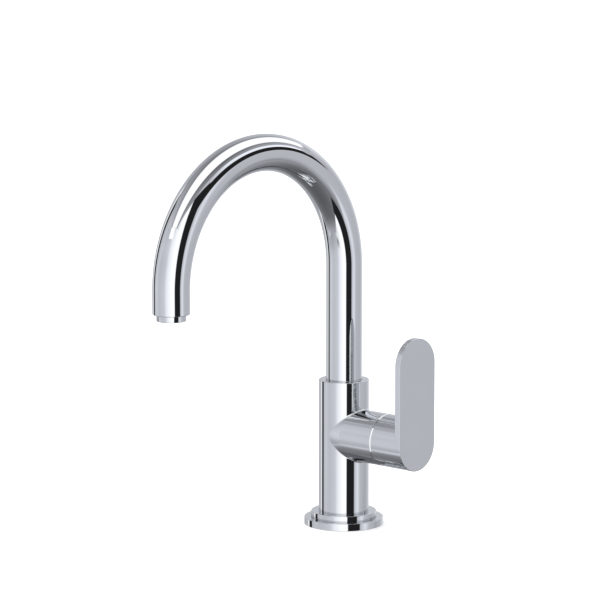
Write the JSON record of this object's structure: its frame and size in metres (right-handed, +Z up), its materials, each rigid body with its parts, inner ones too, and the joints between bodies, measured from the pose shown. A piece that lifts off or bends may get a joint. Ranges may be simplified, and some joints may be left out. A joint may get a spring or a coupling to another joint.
{
  "type": "single-lever basin mixer",
  "caption": "Deck-mounted basin mixer with a swivelling gooseneck spout, a round column on a stepped foot, and a side branch with a slim upright lever plate.",
  "frame": {"origin": "centre of the base flange's underside, on the deck surface", "axes": "+Z up out of the deck; -Y towards the outlet of the spout at its middle position, which is the front; +X along the lever branch, to the right of a person facing the tap from the front"},
  "size_m": [0.0949, 0.208, 0.3248],
  "materials": {
    "chrome": "polished chrome plating on brass",
    "chrome_zinc": "polished chrome plating on die-cast zinc",
    "chrome_plastic": "chrome-plated ABS plug",
    "seal_rubber": "moulded EPDM, satin",
    "brass": "turned, unplated",
    "plated_steel": "zinc-plated steel",
    "stainless": "stainless steel",
    "ceramic": "lapped alumina, near-white",
    "cartridge_plastic": "moulded, off-white",
    "rotor_plastic": "moulded POM, black",
    "guide_plastic": "moulded POM, natural white",
    "aerator_plastic": "moulded, light grey",
    "regulator_plastic": "moulded, mid grey"
  },
  "bodies": {
    "mixer_body": {"base_flange": "chrome", "flange_gasket": "seal_rubber", "body_casting": "chrome", "inlet_base": "brass", "spout_guide_ring": "guide_plastic", "spout_limit_screw": "stainless", "cartridge_base": "cartridge_plastic", "cartridge_port_seals": "seal_rubber", "ceramic_disc_seals": "seal_rubber", "fixed_ceramic_disc": "ceramic", "cartridge_housing": "cartridge_plastic", "cartridge_nut": "brass", "dome_cover": "chrome", "fixing_stud": "plated_steel", "clamp_rubber": "seal_rubber", "clamp_plate": "plated_steel", "clamp_nut": "brass"},
    "spout": {"spout_tube": "chrome", "spout_tail": "brass", "spout_o_rings": "seal_rubber", "outlet_bush": "brass", "aerator_housing": "chrome", "aerator_washer": "seal_rubber", "aerator_outlet_grid": "aerator_plastic", "aerator_insert": "aerator_plastic", "flow_regulator": "regulator_plastic", "aerator_screen": "stainless"},
    "temperature_rotor": {"cartridge_rotor": "rotor_plastic", "stem_pivot_pin": "stainless"},
    "lever": {"lever_handle": "chrome_zinc", "cartridge_stem": "brass", "lever_grub_screw": "stainless", "grub_screw_plug": "chrome_plastic"},
    "disc_slide": {"disc_carrier": "rotor_plastic", "moving_ceramic_disc": "ceramic"}
  },
  "joints": [
    {"name": "spout_swivel", "type": "hinge", "parent": "mixer_body", "child": "spout", "pos_m": [0, 0, 0.09], "axis": [0, 0, 1], "range_deg": [-60, 60]},
    {"name": "temperature_turn", "type": "hinge", "parent": "mixer_body", "child": "temperature_rotor", "pos_m": [0.0274, 0, 0.0642], "axis": [1, 0, 0], "range_deg": [-45, 45]},
    {"name": "flow_lift", "type": "hinge", "parent": "temperature_rotor", "child": "lever", "pos_m": [0.0274, 0, 0.0642], "axis": [0, 1, 0], "range_deg": [0, 20]},
    {"name": "disc_shift", "type": "slide", "parent": "temperature_rotor", "child": "disc_slide", "axis": [0, 0, 1], "range_m": [0, 0.0022]}
  ],
  "couplings": [
    {"joint": "disc_shift", "follows": "flow_lift", "m_per_rad": 0.00627}
  ]
}
